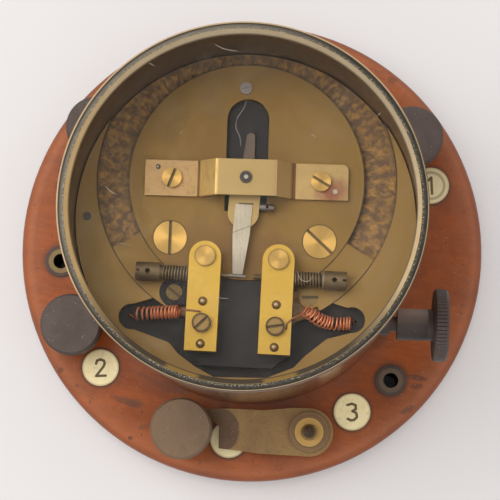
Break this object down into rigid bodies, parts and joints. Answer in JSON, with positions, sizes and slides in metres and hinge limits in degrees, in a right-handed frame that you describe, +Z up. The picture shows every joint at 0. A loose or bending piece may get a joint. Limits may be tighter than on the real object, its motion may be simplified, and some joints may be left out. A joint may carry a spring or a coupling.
{
  "type": "signalling relay",
  "caption": "Polarised telegraph and signalling relay on a round wooden base, with a glazed brass case, adjustable contacts and screw terminals.",
  "frame": {"origin": "centre of the underside of the round base", "axes": "+Z up through the case; +Y towards the back, away from the two front terminals; +X towards the bias screw's knob"},
  "size_m": [0.17, 0.17, 0.138],
  "materials": {
    "mahogany": "old French-polished mahogany, worn and scratched",
    "baize": "green baize",
    "dark_bronze": "dark bronzed brass, fine knurl",
    "brown_bronze": "bronzed brass, worn brown",
    "ferrule_bronze": "bronzed brass ferrule",
    "ivory": "polished ivory-coloured disc",
    "aged_brass": "aged olive brass",
    "case_brass": "lacquered brass gone brown",
    "rim_brass": "bright worn brass rim",
    "cement": "dark speckled glazing cement",
    "glass": "flat glass, dusty",
    "plate_brass": "lacquered plate brass",
    "screw_brass": "turned brass screw heads",
    "bridge_brass": "worn rolled brass",
    "post_brass": "bright yellow brass",
    "contact_brass": "tarnished brass screw",
    "ebonite": "dusty black ebonite",
    "steel": "grey steel",
    "dark_steel": "blued steel",
    "german_silver": "German silver strip",
    "iron": "soft iron",
    "magnet_steel": "black japanned magnet steel",
    "winding": "green silk-covered wire",
    "insulation": "brown covered lead",
    "copper": "bare copper wire"
  },
  "bodies": {
    "base": {"base_board": "mahogany", "base_cloth": "baize", "fixing_ferrules": "ferrule_bronze", "label_discs": "ivory", "terminal_studs": "aged_brass", "terminal_nuts": "aged_brass", "terminal_collars": "aged_brass", "terminal_washers": "aged_brass", "link_washers": "aged_brass", "lower_plate": "plate_brass", "lower_plate_screws": "screw_brass", "front_pillars": "plate_brass", "back_pillar": "plate_brass", "ebonite_plate": "ebonite", "top_plate": "plate_brass", "plate_screws": "screw_brass", "back_screw": "steel", "plate_pin": "dark_steel", "footstep_bearing": "plate_brass", "bridge": "bridge_brass", "bridge_screws": "screw_brass", "bridge_pins": "steel", "pivot_screw": "dark_steel", "permanent_magnet": "magnet_steel", "coil_yoke": "iron", "coil_cores": "iron", "coil_cheeks": "ebonite", "coil_windings": "winding", "pole_pieces": "iron", "contact_leads": "insulation", "coil_leads": "insulation", "bias_bracket": "plate_brass", "pigtail_left": "copper", "pigtail_right": "copper"},
    "case": {"case_shell": "case_brass", "case_rim": "rim_brass", "glass_cement": "cement", "case_glass": "glass", "glass_ring": "case_brass", "case_boss": "dark_bronze"},
    "bias_screw": {"bias_screw": "dark_bronze"},
    "carriage": {"carriage_sector": "plate_brass", "carriage_block": "ebonite", "block_screws": "screw_brass", "contact_posts": "post_brass", "post_fasteners": "screw_brass"},
    "armature": {"arbor": "steel", "armature_bar": "iron", "pointer": "iron", "tongue_carrier": "bridge_brass", "carrier_screw": "steel", "tongue": "german_silver", "contact_pin": "steel"},
    "contact_screw_left": {"contact_screw_left": "contact_brass"},
    "contact_screw_right": {"contact_screw_right": "contact_brass"},
    "knob_back_right": {"terminal_knob_back_right": "dark_bronze"},
    "knob_back_left": {"terminal_knob_back_left": "dark_bronze"},
    "knob_left": {"terminal_knob_left": "dark_bronze"},
    "knob_front": {"terminal_knob_front": "brown_bronze"},
    "link": {"link_strap": "aged_brass"}
  },
  "joints": [
    {"name": "case_lift", "type": "slide", "parent": "base", "child": "case", "axis": [0, 0, 1], "range_m": [0, 0.12]},
    {"name": "bias_spin", "type": "hinge", "parent": "base", "child": "bias_screw", "pos_m": [0.05, -0.0316, 0.0899], "axis": [1, 0, 0], "range_deg": [-503.3, 1174.3]},
    {"name": "carriage_swing", "type": "hinge", "parent": "base", "child": "carriage", "pos_m": [0, 0.0129, 0.1011], "axis": [0, 0, 1], "range_deg": [-1.85, 4.25], "deforming": ["pigtail_left", "pigtail_right"]},
    {"name": "tongue_swing", "type": "hinge", "parent": "carriage", "child": "armature", "pos_m": [0, 0.0129, 0.1061], "axis": [0, 0, 1], "range_deg": [0, 4.6]},
    {"name": "contact_screw_left_turn", "type": "hinge", "parent": "carriage", "child": "contact_screw_left", "pos_m": [-0.02066, -0.01845, 0.1061], "axis": [0.9998, -0.0209, 0], "range_deg": [-180, 180]},
    {"name": "contact_screw_right_turn", "type": "hinge", "parent": "carriage", "child": "contact_screw_right", "pos_m": [0.01933, -0.01929, 0.1061], "axis": [0.9998, -0.0209, 0], "range_deg": [-180, 180]},
    {"name": "knob_back_right_turn", "type": "hinge", "parent": "base", "child": "knob_back_right", "pos_m": [0.05754, 0.04074, 0.034], "axis": [0, 0, 1], "range_deg": [0, 720]},
    {"name": "knob_back_left_turn", "type": "hinge", "parent": "base", "child": "knob_back_left", "pos_m": [-0.05718, 0.04124, 0.034], "axis": [0, 0, 1], "range_deg": [0, 720]},
    {"name": "knob_left_turn", "type": "hinge", "parent": "base", "child": "knob_left", "pos_m": [-0.06337, -0.0309, 0.034], "axis": [0, 0, 1], "range_deg": [0, 720]},
    {"name": "knob_front_turn", "type": "hinge", "parent": "base", "child": "knob_front", "pos_m": [-0.02249, -0.06682, 0.034], "axis": [0, 0, 1], "range_deg": [0, 720]},
    {"name": "link_swing", "type": "hinge", "parent": "base", "child": "link", "pos_m": [0.02319, -0.06658, 0.027], "axis": [0, 0, 1], "range_deg": [-1, 0]}
  ],
  "couplings": [
    {"joint": "carriage_swing", "follows": "bias_spin", "ratio": 0.0035765}
  ]
}
